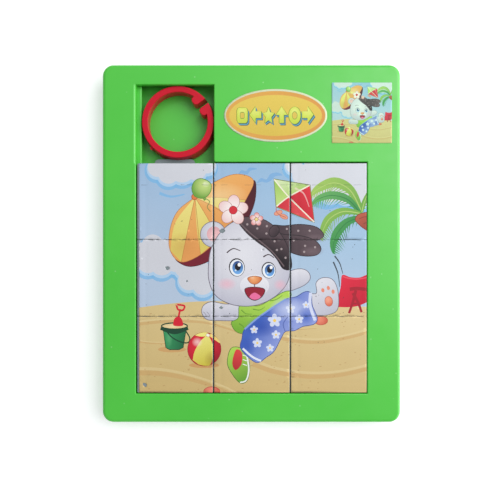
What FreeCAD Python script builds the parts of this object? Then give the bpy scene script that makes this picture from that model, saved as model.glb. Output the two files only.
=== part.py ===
import FreeCAD, Part
import os

# A sliding tile puzzle: a moulded tray that carries nine interlocking picture tiles in a 3 by 3
# field, with a tenth, empty cell above the first column where a plastic ring is parked.
# Millimetres. The puzzle lies on its back: +Z is up out of the picture and +Y is the picture's top.
# The origin is the middle of the face that the puzzle lies on.

Vector = FreeCAD.Vector

# --- driving dimensions: the tray ---
tray_width = 134.5
tray_length = 161.5
tray_height = 11.2
tray_corner = 5.0
tray_top_round = 1.7
skirt_wall = 2.0
panel_wall = 2.2          # the thickness of the tray's top panel
cover_height = 2.2        # the back cover's top face is the floor that the tiles slide on
cover_play = 0.15

# --- driving dimensions: the tiles and the field that they slide in ---
tile_width = 34.25
tile_length = 34.35
tile_gap_x = 0.35
tile_gap_y = 0.15         # the tiles of a column push one another, so they all but touch
tile_height = 8.6
tile_lift = 0.1           # running clearance above the floor
tile_corner = 0.5
tile_wall = 1.2
tile_plate = 1.6
tile_count = 3
field_left = -52.05
field_right = 52.2
field_bottom = -67.55
field_top = 36.75
first_tile_x = -51.45
first_tile_y = -67.2
parking_right = -16.85
parking_top = 71.6
window_round = 0.5
window_corner = 0.9       # where the panel's corner stands between the field and the parking cell
entry_round = 1.1         # the softer edge on the left of the parking cell

# --- driving dimensions: tongues, grooves and rails that lock the tiles into the tray ---
side_tongue_low = 4.6     # above the floor: the tongue on a tile's right, and the rail on the left wall
upper_tongue_low = 2.0    # above the floor: the tongue on a tile's upper side, and the lower wall's rail
tongue_thickness = 1.2
tongue_reach = 2.75
tongue_width = 18.6
tongue_corner = 2.0
tongue_middle = 16.2      # from the tile's left or lower edge
side_rail_reach = 2.05
low_rail_reach = 1.3
rail_round = 0.6
groove_play = 0.4         # above and below a tongue
groove_depth = 3.0
rim_wall = 5.4            # the band around the field
rim_recess = 3.0          # cut into the right and upper walls, where the tongues run
rim_recess_top = 8.7

# --- driving dimensions: posts and ribs under the top panel ---
post_radius = 1.8
post_hole_radius = 1.87
post_end = 0.2
side_post_x = (-61.35, 61.4)
side_post_y = (-66.0, -22.0, 22.0, 66.0)
panel_posts = ((0.0, 72.0), (34.0, 48.0))
rib_x = (10.0, 24.0, 46.0)
rib_thickness = 1.2
rib_drop = 3.0

# --- driving dimensions: printed pieces ---
print_thickness = 0.2
sheet_left = -50.6        # the printed sheet was laid over all nine tiles, then cut between them
sheet_right = 51.85
sheet_bottom = -67.05
sheet_top = 36.1
print_left_margin = 0.05
print_right_margin = 0.25
print_end_margin = 0.05
label_thickness = 0.15
label_middle = (10.9, 57.6)
label_size = (46.4, 23.8)
sticker_middle = (49.7, 58.8)
sticker_size = (27.0, 27.2)

# --- driving dimensions: the ring ---
ring_middle = (-33.4, 55.25)
ring_radius = 16.25       # at the top; the band leans outward towards its foot
ring_band = 2.75
ring_height = 7.2
ring_outer_lean = 0.85
ring_inner_lean = 0.35
ring_lift = 0.05
ring_round = 0.35
ring_clearance = 0.15     # the band is flat where it passes the edges of the cell's opening
ring_tongue_clearance = 0.8
ring_gap = 2.2
ring_gap_angle = 36.5     # degrees from +X
foot_reach = 5.6          # from the ring's outside to the foot's tip
foot_width = 3.9
foot_corner = 1.6
nub_angle = -136.0        # the moulding gate's stub, opposite the gap
nub_radius = 0.8
nub_reach = 1.25

# --- worked out from the above ---
half_width = tray_width / 2
half_length = tray_length / 2
floor_z = cover_height
side_tongue_z = floor_z + side_tongue_low
side_tongue_top_z = side_tongue_z + tongue_thickness
upper_tongue_z = floor_z + upper_tongue_low
upper_tongue_top_z = upper_tongue_z + tongue_thickness
tile_z = floor_z + tile_lift
tile_top_z = tile_z + tile_height
panel_under_z = tray_height - panel_wall
pitch_x = tile_width + tile_gap_x
pitch_y = tile_length + tile_gap_y
overlap = 0.5             # how far a joined piece reaches into the one it is fused with


def box(x0, y0, z0, x1, y1, z1):
    """An axis-aligned box between two corners."""
    return Part.makeBox(x1 - x0, y1 - y0, z1 - z0, Vector(x0, y0, z0))


def rounded_slab(x0, y0, x1, y1, radii, z0, z1):
    """An upright slab whose four corners have their own radii, from the lower left, anticlockwise."""
    corners = [(x0, y0, 1, 0), (x1, y0, 0, 1), (x1, y1, -1, 0), (x0, y1, 0, -1)]
    edges = []
    starts, ends = [], []
    for (x, y, forward_x, forward_y), radius in zip(corners, radii):
        ahead = Vector(forward_x, forward_y, 0)
        behind = Vector(forward_y, -forward_x, 0)
        corner = Vector(x, y, z0)
        # the path runs anticlockwise, so it comes in from behind and leaves ahead
        ends.append(corner + Vector(-behind.x, -behind.y, 0) * radius)
        starts.append(corner + ahead * radius)
        if radius > 0:
            inner = corner + (ahead - behind) * radius
            middle = inner - (ahead - behind).normalize() * radius
            edges.append(Part.Arc(ends[-1], middle, starts[-1]).toShape())
    straight = []
    for number in range(4):
        straight.append(Part.LineSegment(starts[number], ends[(number + 1) % 4]).toShape())
    wire = Part.Wire(Part.__sortEdges__(edges + straight))
    return Part.Face(wire).extrude(Vector(0, 0, z1 - z0))


def rod(x, y, radius, z0, z1):
    """An upright cylinder."""
    return Part.makeCylinder(radius, z1 - z0, Vector(x, y, z0), Vector(0, 0, 1))


def cone(low_radius, high_radius, z0, z1):
    """An upright cone on the Z axis, cut off at both ends."""
    return Part.makeCone(low_radius, high_radius, z1 - z0, Vector(0, 0, z0), Vector(0, 0, 1))


def window(z0, z1, grow=0.0, grow_low=None):
    """The L-shaped opening: the 3 by 3 field with the parking cell on top of its first column."""
    low = grow if grow_low is None else grow_low
    field = box(field_left - low, field_bottom - low, z0, field_right + grow, field_top + grow, z1)
    parking = box(field_left - low, field_bottom - low, z0, parking_right + grow, parking_top + grow, z1)
    corner_x, corner_y = parking_right + grow, field_top + grow
    beside = box(corner_x, corner_y, z0, corner_x + window_corner, corner_y + window_corner, z1)
    middle = rod(corner_x + window_corner, corner_y + window_corner, window_corner, z0, z1)
    return field.fuse([parking, beside.cut(middle)]).removeSplitter()


def edges_at(shape, z, keep):
    """The edges that lie at height z and whose middle passes the test keep(x, y)."""
    found = []
    for edge in shape.Edges:
        limits = edge.BoundBox
        if abs(limits.ZMin - z) < 1e-4 and abs(limits.ZMax - z) < 1e-4:
            middle = edge.CenterOfMass
            if keep(middle.x, middle.y):
                found.append(edge)
    return found


def post_places():
    """Where the tray's posts go down into the back cover."""
    places = [(x, y) for x in side_post_x for y in side_post_y]
    places.extend(panel_posts)
    return places


def make_front_frame():
    """The tray: top panel, skirt, grooved rim around the window, rails, posts and ribs."""
    outline = (-half_width, -half_length, half_width, half_length)
    shell = rounded_slab(*outline, (tray_corner,) * 4, 0, tray_height)
    shell = shell.makeFillet(tray_top_round, edges_at(shell, tray_height, lambda x, y: True))
    inside = (
        -half_width + skirt_wall,
        -half_length + skirt_wall,
        half_width - skirt_wall,
        half_length - skirt_wall,
    )
    inner_corner = tray_corner - skirt_wall
    hollow = rounded_slab(*inside, (inner_corner,) * 4, 0, panel_under_z)
    shell = shell.cut(hollow)
    rim = window(floor_z, panel_under_z + overlap, rim_wall)
    shell = shell.fuse(rim)
    for x in rib_x:
        start = field_top + rim_wall - overlap
        end = half_length - skirt_wall + overlap
        low = panel_under_z - rib_drop
        rib = box(x - rib_thickness / 2, start, low, x + rib_thickness / 2, end, panel_under_z + overlap)
        shell = shell.fuse(rib)
    for x, y in post_places():
        shell = shell.fuse(rod(x, y, post_radius, post_end, panel_under_z + overlap))
    shell = shell.cut(window(0, tray_height + 1))
    shell = round_window(shell)
    shell = shell.cut(window(floor_z, rim_recess_top, rim_recess, 0.0))
    return shell.fuse([make_side_rail(), make_low_rail()]).removeSplitter()


def make_side_rail():
    """The ledge along the left wall, from the field's lower edge to the top of the parking cell."""
    edge_x = field_left + side_rail_reach
    rail = box(field_left - overlap, field_bottom, side_tongue_z, edge_x, parking_top, side_tongue_top_z)
    lip = edges_at(rail, side_tongue_top_z, lambda x, y: abs(x - edge_x) < 0.01)
    return rail.makeFillet(rail_round, lip)


def make_low_rail():
    """The low ledge along the lower wall."""
    edge_y = field_bottom + low_rail_reach
    return box(field_left, field_bottom - overlap, upper_tongue_z, field_right, edge_y, upper_tongue_top_z)


def round_window(shell):
    """Rounds the window's upper edges, more on the left of the parking cell."""

    def on_window(x, y):
        inside_x = field_left - 0.01 < x < field_right + 0.01
        inside_y = field_bottom - 0.01 < y < parking_top + 0.01
        return inside_x and inside_y

    shell = shell.makeFillet(window_round, edges_at(shell, tray_height, on_window))
    return shell.cut(make_entry_cutter())


def make_entry_cutter():
    """What the softer edge leaves off the panel's corner, from the top tile to the cell's end."""
    start = tile_corner_at(1, 1)[1] + tile_length
    x, z = field_left - entry_round, tray_height - entry_round
    corner = box(x, start, z, field_left + overlap, parking_top, tray_height + overlap)
    kept = Part.makeCylinder(entry_round, parking_top - start + 2, Vector(x, start - 1, z), Vector(0, 1, 0))
    return corner.cut(kept)


def make_back_cover():
    """The flat cover that closes the tray from behind and is the floor under the tiles."""
    inset = skirt_wall + cover_play
    corner = tray_corner - skirt_wall
    plate = rounded_slab(
        -half_width + inset,
        -half_length + inset,
        half_width - inset,
        half_length - inset,
        (corner,) * 4,
        0,
        cover_height,
    )
    for x, y in post_places():
        plate = plate.cut(rod(x, y, post_hole_radius, -1, cover_height + 1))
    return plate


def tile_corner_at(column, row):
    """A tile's lower left corner. Row 1 is the top row."""
    return first_tile_x + (column - 1) * pitch_x, first_tile_y + (tile_count - row) * pitch_y


def make_tile(column, row):
    """A hollow tile with tongues on its right and upper sides and grooves on the other two."""
    x, y = tile_corner_at(column, row)
    far_x, far_y = x + tile_width, y + tile_length
    body = rounded_slab(x, y, far_x, far_y, (tile_corner,) * 4, tile_z, tile_top_z)
    body = body.makeFillet(0.3, edges_at(body, tile_top_z, lambda x, y: True))
    side_low = side_tongue_z - groove_play
    side_groove = box(x - 1, y - 1, side_low, x + groove_depth, far_y + 1, side_tongue_top_z + groove_play)
    low_groove = box(x - 1, y - 1, tile_z - 1, far_x + 1, y + groove_depth, upper_tongue_top_z + groove_play)
    body = body.cut(side_groove).cut(low_groove)
    inner_x, inner_y = far_x - tile_wall, far_y - tile_wall
    step = groove_depth + tile_wall
    wide = box(x + tile_wall, y + step, tile_z - 1, inner_x, inner_y, side_low - tile_wall)
    deep = box(x + step, y + step, tile_z - 1, inner_x, inner_y, tile_top_z - tile_plate)
    body = body.cut(wide.fuse(deep))
    half = tongue_width / 2
    upper = rounded_slab(
        x + tongue_middle - half,
        far_y - overlap,
        x + tongue_middle + half,
        far_y + tongue_reach,
        (0, 0, tongue_corner, tongue_corner),
        upper_tongue_z,
        upper_tongue_top_z,
    )
    side = rounded_slab(
        far_x - overlap,
        y + tongue_middle - half,
        far_x + tongue_reach,
        y + tongue_middle + half,
        (0, tongue_corner, tongue_corner, 0),
        side_tongue_z,
        side_tongue_top_z,
    )
    return body.fuse([upper, side]).removeSplitter()


def make_picture(column, row):
    """The printed film on one tile: its part of the sheet, cut back from the gap beside it."""
    x, y = tile_corner_at(column, row)
    left = max(x + print_left_margin, sheet_left)
    right = min(x + tile_width - print_right_margin, sheet_right)
    if column == tile_count:
        right = min(x + tile_width - print_left_margin, sheet_right)
    bottom = max(y + print_end_margin, sheet_bottom)
    top = min(y + tile_length - print_end_margin, sheet_top)
    return rounded_slab(left, bottom, right, top, (0.25,) * 4, tile_top_z, tile_top_z + print_thickness)


def cell_opening(z0, z1):
    """What the ring can pass through on its way out: the cell above the first column's top tile."""
    left = field_left + side_rail_reach + ring_clearance
    right = parking_right - ring_clearance
    tile_edge = tile_corner_at(1, 1)[1] + tile_length
    above_tongue = upper_tongue_top_z + ring_clearance
    high = parking_top - ring_clearance
    foot = box(left, tile_edge + tongue_reach + ring_tongue_clearance, z0, right, high, above_tongue)
    return foot.fuse(box(left, tile_edge + ring_clearance, above_tongue, right, high, z1)).removeSplitter()


def make_ring():
    """A springy open ring with two inward feet at its gap, shaped to clip on and off."""
    low = floor_z + ring_lift
    high = low + ring_height
    inner = ring_radius - ring_band
    band = cone(ring_radius + ring_outer_lean, ring_radius, low, high)
    band = band.cut(cone(inner + ring_inner_lean, inner, low, high))
    feet = []
    for side in (-1, 1):
        near = side * ring_gap / 2
        far = side * (ring_gap / 2 + foot_width)
        y0, y1 = min(near, far), max(near, far)
        tip = ring_radius - foot_reach
        radii = (foot_corner, 0, 0, foot_corner)
        feet.append(rounded_slab(tip, y0, ring_radius - ring_band / 2, y1, radii, low, high))
    body = band.fuse(feet)
    body = body.cut(box(0, -ring_gap / 2, low - 1, ring_radius + 1, ring_gap / 2, high + 1))
    body.rotate(Vector(0, 0, 0), Vector(0, 0, 1), ring_gap_angle)
    body = body.removeSplitter()
    ends = edges_at(body, low, lambda x, y: True) + edges_at(body, high, lambda x, y: True)
    body = body.makeFillet(ring_round, ends)
    nub_at = ring_radius + nub_reach - nub_radius
    nub = rod(nub_at, 0, nub_radius, low + 1.5, high - 1.5)
    nub.rotate(Vector(0, 0, 0), Vector(0, 0, 1), nub_angle)
    body = body.fuse(nub)
    body.translate(Vector(ring_middle[0], ring_middle[1], 0))
    return body.common(cell_opening(low, high))


def make_oval_label():
    """The oval label on the top panel."""
    major, minor = label_size[0] / 2, label_size[1] / 2
    outline = Part.Ellipse(Vector(label_middle[0], label_middle[1], tray_height), major, minor)
    face = Part.Face(Part.Wire(outline.toShape()))
    return face.extrude(Vector(0, 0, label_thickness))


def make_reference_picture():
    """The small square picture of the solved puzzle."""
    x, y = sticker_middle
    half_x, half_y = sticker_size[0] / 2, sticker_size[1] / 2
    high = tray_height + label_thickness
    return rounded_slab(x - half_x, y - half_y, x + half_x, y + half_y, (0.4,) * 4, tray_height, high)


def main():
    os.makedirs("parts", exist_ok=True)
    nodes = {
        "front_frame": make_front_frame(),
        "back_cover": make_back_cover(),
        "hanging_ring": make_ring(),
        "oval_label": make_oval_label(),
        "reference_picture": make_reference_picture(),
    }
    for row in range(1, tile_count + 1):
        for column in range(1, tile_count + 1):
            nodes[f"tile_r{row}c{column}"] = make_tile(column, row)
            nodes[f"picture_r{row}c{column}"] = make_picture(column, row)
    for name, shape in nodes.items():
        solids = shape.Solids
        state = "ok" if len(solids) == 1 and solids[0].isValid() else "PROBLEM"
        print(name, state, len(solids), "solid", round(shape.Volume, 1), "mm3")
        solids[0].exportStep(f"parts/{name}.step")


main()
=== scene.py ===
import bpy
import math
import random
import numpy as np
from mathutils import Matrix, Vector
from mathutils.geometry import delaunay_2d_cdt


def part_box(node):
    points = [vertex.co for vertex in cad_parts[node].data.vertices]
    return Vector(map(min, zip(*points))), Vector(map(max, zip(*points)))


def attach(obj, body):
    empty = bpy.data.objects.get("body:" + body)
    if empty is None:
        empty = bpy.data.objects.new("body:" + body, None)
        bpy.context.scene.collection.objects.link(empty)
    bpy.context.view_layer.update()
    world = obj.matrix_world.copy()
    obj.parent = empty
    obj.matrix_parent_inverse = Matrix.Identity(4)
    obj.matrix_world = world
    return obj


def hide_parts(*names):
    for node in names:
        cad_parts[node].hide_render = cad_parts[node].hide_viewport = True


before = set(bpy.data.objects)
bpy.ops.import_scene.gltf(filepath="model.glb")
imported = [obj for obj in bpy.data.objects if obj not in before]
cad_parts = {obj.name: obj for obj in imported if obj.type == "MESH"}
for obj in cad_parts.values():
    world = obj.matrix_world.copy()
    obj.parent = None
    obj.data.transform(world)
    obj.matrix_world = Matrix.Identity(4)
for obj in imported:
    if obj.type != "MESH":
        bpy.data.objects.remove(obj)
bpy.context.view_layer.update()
MM = 0.001
TILES = [(row, column) for row in (1, 2, 3) for column in (1, 2, 3)]
SINK_LEFT = 3.0 * MM         # how far a tile's sink marks lie from its film's left and lower edges
SINK_LOW = 4.4 * MM
SINK_LEFT_WIDTH = 0.7 * MM
SINK_LOW_WIDTH = 0.8 * MM
SINK_DEPTH = 0.05 * MM
RIM_WIDTH = 0.5 * MM         # the strip along a film's edge that rolls off
RIM_DROP = 0.005 * MM        # how far the edge itself lies down
FILM_SIDE_SHADED_GREY = (0.42, 0.42, 0.41)     # the colour of the films' walls and backs: a grey darker than the film's white stock, painted shade on the films' edges
SHEET_LOW = np.zeros(2)      # a drawing's corners, in its own units
SHEET_HIGH = np.full(2, 100.0)


def linear(*colour):
    """A colour given as 0 to 255 on a screen, as scene-linear numbers."""
    parts = [part / 255 for part in colour]
    return tuple(part / 12.92 if part <= 0.04045 else ((part + 0.055) / 1.055) ** 2.4 for part in parts)


# ------------------------ camera and light

VIEW_HEIGHT = 233 * MM       # the camera's height above the tray's face
VIEW_SCALE = 0.45 * MM       # one step of a 500-step wide picture, on the tray's face
PICTURE_STEPS = 500
SENSOR = 36.0
CAMERA_LEFT = 0.62 * MM      # how far the camera stands left of and below the tray's middle
CAMERA_DOWN = 2.9 * MM

LIGHTS = (                   # name, place, what it points at, width and height, watts
    ("window_high", (0.61, 0.34, 0.76), (0, 0, 0), (0.9, 0.9), 9.2),
    ("window_low", (0.99, -0.18, 0.25), (0, 0, 0.01), (1.08, 0.43), 2.8),
    ("window_sill", (0.83, 0.0, 0.072), (0.05, 0, 0.01), (1.26, 0.14), 1.6),
    ("far_wall", (-0.15, 0.55, 1.0), (0, 0, 0), (0.5, 0.4), 0.4),
)
ROOM_COLOUR = (0.94, 0.97, 1.0, 1)     # the light from all round
ROOM_STRENGTH = 0.452
FLOOR_HALF = 1.5             # half the floor's side, in metres
FLOOR_COLOUR = (0.86, 0.86, 0.86, 1)
FLOOR_GLOW = 0.35            # keeps the floor an even white


def new_object(name, data):
    made = bpy.data.objects.new(name, data)
    bpy.context.scene.collection.objects.link(made)
    return made


def make_camera():
    low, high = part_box("front_frame")
    data = bpy.data.cameras.new("photo_camera")
    data.sensor_width = SENSOR
    data.lens = SENSOR * VIEW_HEIGHT / (PICTURE_STEPS * VIEW_SCALE)
    camera = new_object("photo_camera", data)
    middle = (low + high) / 2
    camera.location = (middle.x - CAMERA_LEFT, middle.y - CAMERA_DOWN, high.z + VIEW_HEIGHT)
    bpy.context.scene.camera = camera


def area_light(name, place, aim, size, power):
    data = bpy.data.lights.new(name, "AREA")
    data.shape = "RECTANGLE"
    data.size, data.size_y = size
    data.energy = power
    light = new_object(name, data)
    light.location = place
    light.rotation_euler = (Vector(aim) - Vector(place)).to_track_quat("-Z", "Y").to_euler()


def make_light():
    scene = bpy.context.scene
    scene.view_settings.view_transform = "Standard"
    world = bpy.data.worlds.new("studio")
    world.use_nodes = True
    background = world.node_tree.nodes["Background"]
    background.inputs["Color"].default_value = ROOM_COLOUR
    background.inputs["Strength"].default_value = ROOM_STRENGTH
    scene.world = world
    for light in LIGHTS:
        area_light(*light)


def make_floor():
    mesh = bpy.data.meshes.new("floor")
    corners = [(x * FLOOR_HALF, y * FLOOR_HALF, 0) for x, y in ((-1, -1), (1, -1), (1, 1), (-1, 1))]
    mesh.from_pydata(corners, [], [(0, 1, 2, 3)])
    material = bpy.data.materials.new("floor")
    material.use_nodes = True
    shader = material.node_tree.nodes["Principled BSDF"]
    shader.inputs["Base Color"].default_value = FLOOR_COLOUR
    shader.inputs["Roughness"].default_value = 0.9
    shader.inputs["Emission Color"].default_value = (1, 1, 1, 1)
    shader.inputs["Emission Strength"].default_value = FLOOR_GLOW
    mesh.materials.append(material)
    floor = new_object("floor", mesh)


# ------------------------ materials

DRIFT_SCALE = 22             # noise scales, in waves per metre
WEAR_SCALE = 160
GRAIN_SCALE = 900
SCRATCH_SCALE = 60
SCRATCH_STRETCH = (1, 22, 1)
SCRATCH_TURN = (0, 0, 0.5)
SCRATCH_FROM = 0.7           # noise above this is a scratch
SCRATCH_DULLING = 0.14       # how much rougher a scratch is
SPECK_SCALE = 190
SPECK_RADIUS = 0.42 * MM
SPECK_SHARE = 0.4            # how many of the cells hold a speck


class Surface:
    """A material in the making: its nodes, and the shader that they feed."""

    def __init__(self, name):
        self.material = bpy.data.materials.new(name)
        self.material.use_nodes = True
        self.tree = self.material.node_tree
        self.shader = self.tree.nodes["Principled BSDF"]
        self.place = self.node("ShaderNodeTexCoord", {}).outputs["Object"]

    def fill(self, node, inputs):
        """Gives a node its inputs: another node's output is linked, anything else is a constant."""
        for name, value in inputs.items():
            if isinstance(value, bpy.types.NodeSocket):
                self.tree.links.new(value, node.inputs[name])
            else:
                node.inputs[name].default_value = value

    def node(self, kind, inputs, **settings):
        made = self.tree.nodes.new(kind)
        for name, value in settings.items():
            setattr(made, name, value)
        self.fill(made, inputs)
        return made

    def noise(self, scale, detail, rough=0.5):
        inputs = {"Vector": self.place, "Scale": scale, "Detail": detail, "Roughness": rough}
        return self.node("ShaderNodeTexNoise", inputs).outputs["Fac"]

    def spread(self, source, low, high, from_low=0.3, from_high=0.7):
        """Maps a noise's middle range to low..high."""
        inputs = {"Value": source, "From Min": from_low, "From Max": from_high, "To Min": low, "To Max": high}
        return self.node("ShaderNodeMapRange", inputs).outputs["Result"]

    def mix(self, first, second, factor, blend="MIX"):
        inputs = {"A": first, "B": second, "Factor": factor}
        return self.node("ShaderNodeMix", inputs, data_type="RGBA", blend_type=blend).outputs["Result"]

    def maths(self, operation, *values):
        return self.node("ShaderNodeMath", dict(enumerate(values)), operation=operation).outputs["Value"]

    def relief(self, height, strength, distance):
        inputs = {"Height": height, "Strength": strength, "Distance": distance}
        return self.node("ShaderNodeBump", inputs).outputs["Normal"]


def specks(surface):
    """Small round dots, scattered: 1 on a dot and 0 elsewhere."""
    cells = surface.node("ShaderNodeTexVoronoi", {"Vector": surface.place, "Scale": SPECK_SCALE})
    edge = SPECK_RADIUS * SPECK_SCALE
    near = surface.spread(cells.outputs["Distance"], 1, 0, edge * 0.5, edge)
    parts = surface.node("ShaderNodeSeparateColor", {"Color": cells.outputs["Color"]})
    chosen = surface.maths("LESS_THAN", parts.outputs["Red"], SPECK_SHARE)
    return surface.maths("MULTIPLY", near, chosen)


def scratches(surface):
    """Fine handling scratches along one direction: 1 on a scratch and 0 elsewhere."""
    stretch = {"Vector": surface.place, "Scale": SCRATCH_STRETCH, "Rotation": SCRATCH_TURN}
    along = surface.node("ShaderNodeMapping", stretch).outputs["Vector"]
    streaks = surface.node("ShaderNodeTexNoise", {"Vector": along, "Scale": SCRATCH_SCALE, "Detail": 2})
    return surface.spread(streaks.outputs["Fac"], 0, 1, SCRATCH_FROM, SCRATCH_FROM + 0.04)


def moulded_plastic(name, colour, darker, roughness, gloss=0.5, grain=0.02 * MM, pale=(1, 1, 1), dust=0.3):
    """Moulded plastic: a slight colour drift, dust specks, scratches in the gloss and a fine grain."""
    surface = Surface(name)
    drift = surface.spread(surface.noise(DRIFT_SCALE, 3), 0, 1)
    clean = surface.mix((*darker, 1), (*colour, 1), drift)
    dusty = surface.mix(clean, (*pale, 1), surface.spread(specks(surface), 0, dust, 0, 1))
    worn = surface.spread(surface.noise(WEAR_SCALE, 4, 0.6), roughness - 0.05, roughness + 0.07)
    surface.fill(surface.shader, {
        "Base Color": dusty,
        "Roughness": surface.maths("MULTIPLY_ADD", scratches(surface), SCRATCH_DULLING, worn),
        "Specular IOR Level": gloss,
        "Normal": surface.relief(surface.noise(GRAIN_SCALE, 3, 0.6), 0.25, grain),
    })
    return surface.material


def give(node_name, material):
    """Puts a material on a CAD node."""
    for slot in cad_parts[node_name].material_slots:
        slot.material = material


def dress_cad():
    pale_green = linear(190, 235, 180)
    green = moulded_plastic("tray_green", linear(72, 199, 53), linear(65, 193, 47),
                            roughness=0.4, gloss=0.9, pale=pale_green)
    # the back cover, which floors the shaded cell, takes the frame's green made a little lighter: painted
    # light
    cover = moulded_plastic("cover_green", linear(76, 203, 56), linear(70, 196, 50),
                            roughness=0.46, gloss=0.9, grain=0.03 * MM, pale=pale_green)
    grey = moulded_plastic("tile_grey", linear(136, 148, 152), linear(124, 136, 140),
                           roughness=0.42, dust=0.15)
    red = moulded_plastic("ring_red", linear(207, 24, 47), linear(198, 20, 42),
                          roughness=0.34, gloss=0.22, dust=0.06)
    give("front_frame", green)
    give("back_cover", cover)
    give("hanging_ring", red)
    for row, column in TILES:
        give(f"tile_r{row}c{column}", grey)


# ------------------------ drawing the printed picture
#
# The picture is an original beach scene, drawn as plain shapes in its own units: 0 to 100 from
# left to right (u) and from bottom to top (v). A drawing is a list of shapes from back to front,
# and each shape is its outline, its paint and how strongly it covers what lies under it.


def smooth(points, steps=7, closed=True):
    """A soft curve through the given points."""
    points = np.array(points, dtype=float)
    before, after = (points[-1:], points[:2]) if closed else (points[:1], points[-1:])
    run = np.concatenate([before, points, after])
    out = []
    for a, b, c, d in zip(run, run[1:], run[2:], run[3:]):
        for step in range(steps):
            t = step / steps
            out.append(0.5 * (2 * b + (c - a) * t + (2 * a - 5 * b + 4 * c - d) * t**2
                              + (3 * b - a - 3 * c + d) * t**3))
    if not closed:
        out.append(points[-1])
    return np.array(out)


def ellipse(u, v, radius_u, radius_v, turn=0.0, steps=28):
    angle = np.linspace(0, 2 * math.pi, steps, endpoint=False)
    flat_u, flat_v = radius_u * np.cos(angle), radius_v * np.sin(angle)
    c, s = math.cos(math.radians(turn)), math.sin(math.radians(turn))
    return np.stack([u + flat_u * c - flat_v * s, v + flat_u * s + flat_v * c], axis=1)


def disc(u, v, radius, steps):
    return ellipse(u, v, radius, radius, 0, steps)


def sideways(ahead):
    """Unit vectors to the left of the given ones."""
    side = np.stack([-ahead[:, 1], ahead[:, 0]], axis=1)
    return side / np.maximum(np.linalg.norm(side, axis=1, keepdims=True), 1e-6)


def ribbon(points, width, end_width=None, steps=6):
    """A brush stroke along a soft curve, as wide at its end as end_width says."""
    line = smooth(points, steps, closed=False) if len(points) > 2 else np.array(points, dtype=float)
    side = sideways(np.gradient(line, axis=0))
    end = width if end_width is None else end_width
    half = np.linspace(width, end, len(line))[:, None] / 2
    return np.concatenate([line + side * half, (line - side * half)[::-1]])


def grown(points, amount):
    """The same outline moved outward by an amount."""
    points = np.array(points, dtype=float)
    before, after = np.roll(points, 1, axis=0), np.roll(points, -1, axis=0)
    turning = np.sum(points[:, 0] * after[:, 1] - after[:, 0] * points[:, 1])
    return points + sideways(before - after) * (amount if turning > 0 else -amount)


def flat(colour):
    shade = np.array(linear(*colour))
    return lambda at: np.broadcast_to(shade, (*at.shape[:-1], 3))


def blend(colour_a, colour_b, share):
    """A paint that goes from one colour to another as share(place) goes from 0 to 1."""
    a, b = np.array(linear(*colour_a)), np.array(linear(*colour_b))
    return lambda at: a + (b - a) * np.clip(share(at), 0, 1)[..., None]


def fade(colour_a, colour_b, place_a, place_b):
    """A paint that goes from one colour at place_a to another at place_b."""
    start = np.array(place_a, dtype=float)
    way = np.array(place_b, dtype=float) - start
    return blend(colour_a, colour_b, lambda at: ((at - start) @ way) / (way @ way))


def glow(colour_a, colour_b, middle, radius):
    """A paint that goes from one colour in the middle to another at the radius."""
    middle = np.array(middle, dtype=float)
    return blend(colour_a, colour_b, lambda at: (np.linalg.norm(at - middle, axis=-1) / radius) ** 1.5)


def soft_spot(middle, radius_u, radius_v, strength):
    """A cover that is strongest in the middle and fades out to the rim."""

    def cover(at):
        far = np.hypot((at[..., 0] - middle[0]) / radius_u, (at[..., 1] - middle[1]) / radius_v)
        return strength * np.clip(1 - far, 0, 1) ** 0.8

    return cover


def add(art, outline, paint, cover=1.0):
    """Lays a shape on the drawing. Its paint is a plain colour, or a function of the place."""
    paint = flat(paint) if isinstance(paint, tuple) else paint
    art.append((np.array(outline, dtype=float), paint, cover))


def add_outlined(art, outline, paint, line, width=0.28):
    add(art, grown(outline, width / 2), line)
    add(art, grown(outline, -width / 2), paint)


def add_shade(art, u, v, radius_u, radius_v, colour, strength):
    """A soft patch of shade or light."""
    add(art, ellipse(u, v, radius_u, radius_v), colour, soft_spot((u, v), radius_u, radius_v, strength))


def draw_sky(art):
    whole = [(-2, -2), (102, -2), (102, 102), (-2, 102)]
    add(art, whole, fade((181, 203, 226), (118, 177, 219), (30, 40), (50, 100)))
    add(art, whole, fade((182, 191, 210), (194, 206, 216), (0, 60), (100, 50)), 0.4)
    waves = (
        [(43.4, 94.8), (45, 97), (47, 96.6), (48.6, 98.2), (52, 97.6), (49, 96.8), (47.6, 95.2), (45, 95.6)],
        [(51.8, 91.4), (53.6, 93.6), (56, 93), (57.8, 95.4), (61, 96), (63, 94.8), (60, 94.4), (58.4, 92.8),
         (56, 91.6), (54, 92)],
    )
    for wave in waves:
        add(art, smooth(wave, 5), (116, 168, 216), 0.7)


def draw_clouds(art):
    banks = (
        ((8, 98, 4.5), (13, 95.5, 5), (19, 97, 6), (25, 97, 5), (30, 99, 4)),
        ((1, 61, 4.5), (6, 64, 5), (12, 62, 5), (4, 56.5, 5), (10, 56, 5.5), (16, 57, 5),
         (21, 55, 6), (26, 52, 6), (22, 49, 5), (28, 47, 5)),
        ((68, 99, 4), (72, 94.5, 5), (77, 90, 6), (84, 88.5, 6), (91, 88, 6), (98, 87, 6.5),
         (80, 97, 8), (90, 96, 9), (99, 95, 8)),
    )
    rim = (122, 182, 226)
    fill = fade((214, 216, 223), (208, 209, 216), (75, 95), (10, 55))
    layers = ((-0.2, -1.3, 0.9, rim, 0.8), (0, -0.5, 0.2, (176, 206, 232), 1), (0, 0.3, -0.3, fill, 1))
    for bank in banks:
        for shift_u, shift_v, wider, paint, cover in layers:
            for u, v, radius in bank:
                add(art, disc(u + shift_u, v + shift_v, radius + wider, 30), paint, cover)
    for points in ([(77, 82), (82, 80.3), (87, 81)], [(9, 87), (14, 85.5), (20, 86.5)]):
        add(art, ribbon(points, 1.4, 0.5), rim, 0.8)


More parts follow.
